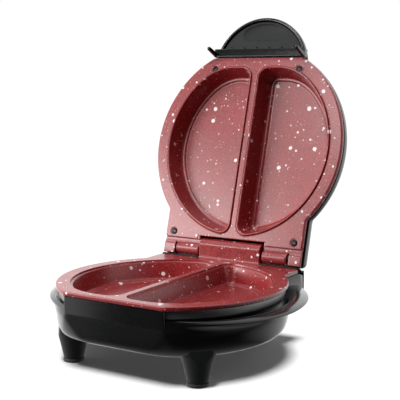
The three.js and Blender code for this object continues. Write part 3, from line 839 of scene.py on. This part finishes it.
# (grow, z) round the outside of the handle, and (radius, z) round its rim
DOME = [(-1.2, 9.6), (-0.5, 9.3), (0, 9.7), (-0.1, 10.6), (-0.6, 12.2), (-1.6, 13.8), (-3.0, 15.2),
        (-5.0, 16.6), (-8, 17.9), (-12, 19.0), (-17, 19.8), (-24, 20.0)]
HANDLE_RIM = [(50, 9.9), (50, 6.2), (49.75, 5.5), (49.2, 5.1), (48.4, 5.0), (47.6, 5.1),
              (47.1, 5.5), (46.9, 6.1), (46.7, 9.9)]
HANDLE_STOPS = 6


def handle():
    bm = bmesh.new()
    skin(bm, [flat(grip(HANDLE_R + g, HANDLE_CUT), z) for g, z in DOME])
    # rim that stands round the finger recess
    cols = []
    for r, z in HANDLE_RIM:
        a = math.asin(18.0 / r)
        turn = arc(0, HANDLE_Y, r, math.pi + a, 2 * math.pi - a, 96)
        cols.append([(x, y, z) for x, y in turn])
    skin(bm, [list(ring) for ring in zip(*cols)])
    y0, y1 = LATCH_Y - 1.4, LATCH_Y + 1.4
    for s in (-1, 1):
        lug = soft_profile([(y0, 2), (y1, 2), (y1, 10), (y0, 10)], 0.6, 3)
        prism_x(bm, lug, s * LUG_X - 1.8, s * LUG_X + 1.8, 0.2)
    piece("handle_shell", bm, lid_place, [BLACK], "lid", ["handle"])


def handle_liner():
    """Matt inner face with the oval finger dimple and a row of small stops."""
    bm = bmesh.new()
    loop = ccw(grip(46.0, -97.8, 72))
    cx, cy = 0.0, -112.0
    half_w, half_h, middle, depth = DIMPLE

    def sunk(x, y):
        d = (x / half_w) ** 2 + ((y - middle) / half_h) ** 2
        return depth * (1 - d) ** 0.6 if d < 1 else 0.0

    rings = [flat(loop, 10.0)]
    for t in [1.0 - 0.03 * i for i in range(32)]:
        ring = [(cx + (x - cx) * t, cy + (y - cy) * t) for x, y in loop]
        rings.append([(x, y, LINER_Z + sunk(x, y)) for x, y in ring])
    skin(bm, rings)
    for i in range(HANDLE_STOPS):
        x = (i - (HANDLE_STOPS - 1) / 2) * 13.6
        stop = soft_profile([(-99.9, 5.6), (-98.0, 5.6), (-98.0, 7.8), (-99.9, 7.8)], 0.4, 3)
        prism_x(bm, stop, x - 1.2, x + 1.2, 0.4, mat=1)
    piece("handle_liner_face", bm, lid_place, [MATT, BLACK], "lid", ["handle_liner"])


# prong sections: (z, front y, rear y, half width)
PRONG = [(2, -92.6, -88.4, 1.6), (-1, -92.8, -88.6, 1.6), (-6, -93.4, -89.6, 1.6),
         (-13.2, -94.3, -91.0, 1.6), (-14.4, -94.3, -91.3, 1.45), (-15.0, -93.8, -91.8, 1.1),
         (-15.2, -93.2, -92.3, 0.6)]


def latch():
    bm = bmesh.new()
    bar = soft_profile([(-88.2, -0.2), (-88.2, 7.3), (-96.4, 7.3), (-96.4, -0.2)], 0.9, 5)
    prism_x(bm, bar, -LATCH_HALF, LATCH_HALF, 0.6)
    for x in (-PRONG_X, PRONG_X):
        rings = []
        for z, y0, y1, w in PRONG:
            corners = [(x - w, y0), (x + w, y0), (x + w, y1), (x - w, y1)]
            rings.append(flat(soft_profile(corners, 0.9, 4), z))
        skin(bm, rings)
    clip = piece("latch_clip_moulded", bm, lid_place, [BLACK], "latch", ["latch_clip"])
    # pockets for the lugs of the handle
    tool = bmesh.new()
    for x in (-LUG_X, LUG_X):
        skin(tool, box(x - 2.3, x + 2.3, -95.1, -89.3, (1, 9)))
    cut(clip, tool, lid_place)


# (radius, height above the lowest point of the head)
SCREW = [(1.2, 0), (2.2, 0.02), (2.9, 0.14), (3.3, 0.4), (3.45, 0.8), (3.45, 1.3), (1.5, 1.35),
         (1.5, 8.4)]


def screw_head(i, spot):
    bm = bmesh.new()
    z = LID_FACE - 0.15
    lathe(bm, [(r, z + h) for r, h in SCREW], (*spot, 0), n=48)
    head = piece(f"plate_screw_head_{i}", bm, lid_place, [DARK_STEEL], "lid", [f"plate_screw_{i}"])
    # cross slot
    tool = bmesh.new()
    for a in (0.35, 0.35 + math.pi / 2):
        c, s = math.cos(a), math.sin(a)
        loop = [(-2.0, -0.38), (2.0, -0.38), (2.0, 0.38), (-2.0, 0.38)]
        loop = [(spot[0] + x * c - y * s, spot[1] + x * s + y * c) for x, y in loop]
        skin(tool, [flat(loop, z - 1), flat(loop, z + 0.9)])
    cut(head, tool, lid_place)


# ---------------------------------------------------------------- pieces kept from the CAD model
def hidden_parts():
    looks = {
        "bottom_cover": MATT,
        "lower_heating_element": DARK_STEEL, "upper_heating_element": DARK_STEEL,
        "lower_reflector": STEEL, "upper_reflector": STEEL,
        "lower_thermostat": CERAMIC, "upper_thermostat": CERAMIC,
        "thermal_fuse": STEEL, "terminal_block": CERAMIC, "cord_gland": RUBBER,
        "hinge_pin": STEEL, "pin_clip_left": DARK_STEEL, "pin_clip_right": DARK_STEEL,
        "latch_pin_left": STEEL, "latch_pin_right": STEEL,
        "power_lens": LENS, "ready_lens": LENS,
    }
    for i in range(1, 5):
        looks[f"bottom_screw_{i}"] = STEEL
    for name, mat in looks.items():
        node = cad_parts[name]
        node.data.materials.clear()
        node.data.materials.append(mat)
        bev = node.modifiers.new("soft_edges", "BEVEL")
        bev.width = 0.00015
        bev.segments = 2
        bev.limit_method = "ANGLE"
        bev.angle_limit = math.radians(50)


lower_plate()
upper_plate()
lower_housing()
rear_block()
for number, place in enumerate(LEGS, 1):
    leg(number, place)
upper_housing()
handle()
handle_liner()
latch()
for number, place in enumerate(PLATE_SCREWS, 1):
    screw_head(number, place)
hidden_parts()


# ---------------------------------------------------------------- studio
def area(name, at, look_at, size, power):
    light = bpy.data.lights.new(name, "AREA")
    light.shape = "RECTANGLE"
    light.size, light.size_y = size
    light.energy = power
    obj = bpy.data.objects.new(name, light)
    obj.location = at
    obj.rotation_euler = (Vector(look_at) - Vector(at)).to_track_quat("-Z", "Y").to_euler()
    bpy.context.scene.collection.objects.link(obj)
    return obj


def sun(name, energy, width_deg, direction):
    light = bpy.data.lights.new(name, "SUN")
    light.energy = energy
    light.angle = math.radians(width_deg)
    obj = bpy.data.objects.new(name, light)
    obj.rotation_euler = Vector(direction).to_track_quat("-Z", "Y").to_euler()
    bpy.context.scene.collection.objects.link(obj)
    return obj


def group(name, objects):
    found = bpy.data.collections.new(name)
    for obj in objects:
        found.objects.link(obj)
    return found


def floor():
    bm = bmesh.new()
    skin(bm, box(-FLOOR_HALF, FLOOR_HALF, -FLOOR_HALF, FLOOR_HALF, (-0.02, 0.0)))
    mesh = bpy.data.meshes.new("studio_floor")
    bm.to_mesh(mesh)
    bm.free()
    mesh.materials.append(floor_white())
    ground = bpy.data.objects.new("studio_floor", mesh)
    bpy.context.scene.collection.objects.link(ground)
    ground.visible_glossy = False
    ground.visible_diffuse = False
    return ground


def sky():
    """White for the camera; for everything else a soft gradient with a bright left corner."""
    world = bpy.data.worlds.new("studio")
    bpy.context.scene.world = world
    world.use_nodes = True
    nt = world.node_tree
    nt.nodes.clear()
    out = nt.nodes.new("ShaderNodeOutputWorld")
    blend = nt.nodes.new("ShaderNodeMixShader")
    seen = nt.nodes.new("ShaderNodeBackground")
    seen.inputs["Color"].default_value = (1, 1, 1, 1)
    seen.inputs["Strength"].default_value = 1.0
    lit = nt.nodes.new("ShaderNodeBackground")
    path = nt.nodes.new("ShaderNodeLightPath")
    coord = nt.nodes.new("ShaderNodeTexCoord")
    split = nt.nodes.new("ShaderNodeSeparateXYZ")
    nt.links.new(coord.outputs["Generated"], split.inputs[0])
    x, y, z = (split.outputs[k] for k in "XYZ")

    def calc(op, a, b):
        n = nt.nodes.new("ShaderNodeMath")
        n.operation = op
        for i, v in enumerate((a, b)):
            if isinstance(v, (int, float)):
                n.inputs[i].default_value = v
            else:
                nt.links.new(v, n.inputs[i])
        return n.outputs[0]

    left = calc("MULTIPLY", calc("MINIMUM", x, 0), -SKY_LEFT)
    edge, gain = SKY_CORNER
    past_edge = calc("MAXIMUM", calc("SUBTRACT", calc("MULTIPLY", x, -1), edge), 0)
    corner = calc("MULTIPLY", past_edge, gain)
    right = calc("MULTIPLY", calc("MAXIMUM", x, 0), SKY_RIGHT)
    side = calc("ADD", calc("ADD", left, corner), right)
    up = calc("MULTIPLY", calc("MAXIMUM", z, 0), SKY_TOP)
    level = calc("ADD", calc("ADD", calc("MULTIPLY", y, SKY_BACK), side), up)
    below = calc("MINIMUM", z, 0)
    slope, start = SKY_BOUNCE
    bounce = calc("SUBTRACT", calc("MULTIPLY", z, -slope), start)
    level = calc("MAXIMUM", calc("ADD", level, below), bounce)
    ramp = nt.nodes.new("ShaderNodeValToRGB")
    dark, bright = ramp.color_ramp.elements
    dark.position, bright.position = SKY_RAMP
    dark.color = (SKY_DARK, SKY_DARK, SKY_DARK, 1)
    bright.color = (1, 1, 1, 1)
    nt.links.new(level, ramp.inputs["Fac"])
    nt.links.new(ramp.outputs["Color"], lit.inputs["Color"])
    gloss = calc("MULTIPLY", path.outputs["Is Glossy Ray"], GLOSS_SKY - DIFFUSE_SKY)
    nt.links.new(calc("ADD", gloss, DIFFUSE_SKY), lit.inputs["Strength"])
    nt.links.new(path.outputs["Is Camera Ray"], blend.inputs[0])
    nt.links.new(lit.outputs[0], blend.inputs[1])
    nt.links.new(seen.outputs[0], blend.inputs[2])
    nt.links.new(blend.outputs[0], out.inputs["Surface"])


def lamps(ground):
    """The floor has a lamp of its own, so that the object can stay dark on a bright floor."""
    only_floor = group("lit_floor", [ground])
    only_object = group("lit_object", [*sum(PIECES.values(), []), *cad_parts.values()])
    lamp = sun("floor_sun", 3.2, 14, (-0.04, 0.22, -1))
    lamp.light_linking.receiver_collection = only_floor
    shaders = [obj for obj in PIECES["base"] if not obj.name.startswith("lower_housing")]
    lamp.light_linking.blocker_collection = group("floor_shadow", shaders)
    others = [
        sun("overhead_sun", 0.9, 30, (0.1, 0.2, -1)),
        area("front_left_softbox", (-0.62, -0.62, 0.33), (0, 0.1, 0.17), (0.55, 0.26), 6.0),
        area("front_left_spark", (-0.50, -1.2, 0.95), (0, 0.08, 0.17), (0.14, 0.14), 4),
        area("upper_front_softbox", (-0.25, -0.75, 1.15), (0, 0.05, 0.1), (0.3, 0.3), 5),
    ]
    for lamp in others:
        lamp.light_linking.receiver_collection = only_object


def camera():
    sy, cy = math.sin(CAMERA_YAW), math.cos(CAMERA_YAW)
    sp, cp = math.sin(CAMERA_PITCH), math.cos(CAMERA_PITCH)
    ahead = Vector((sy * cp, cy * cp, -sp))
    right = ahead.cross(Vector((0, 0, 1))).normalized()
    up = right.cross(ahead)
    c, s = math.cos(CAMERA_ROLL), math.sin(CAMERA_ROLL)
    cam = bpy.data.cameras.new("camera")
    cam.lens = CAMERA_LENS
    cam.sensor_width = CAMERA_SENSOR
    cam.shift_x, cam.shift_y = CAMERA_SHIFT
    cam.clip_start = 0.01
    obj = bpy.data.objects.new("camera", cam)
    m = Matrix((right * c + up * s, up * c - right * s, -ahead)).transposed().to_4x4()
    m.translation = base_place(CAMERA_AT)
    obj.matrix_world = m
    bpy.context.scene.collection.objects.link(obj)
    bpy.context.scene.camera = obj


ground = floor()
sky()
lamps(ground)
camera()
bpy.context.scene.view_settings.view_transform = "Standard"
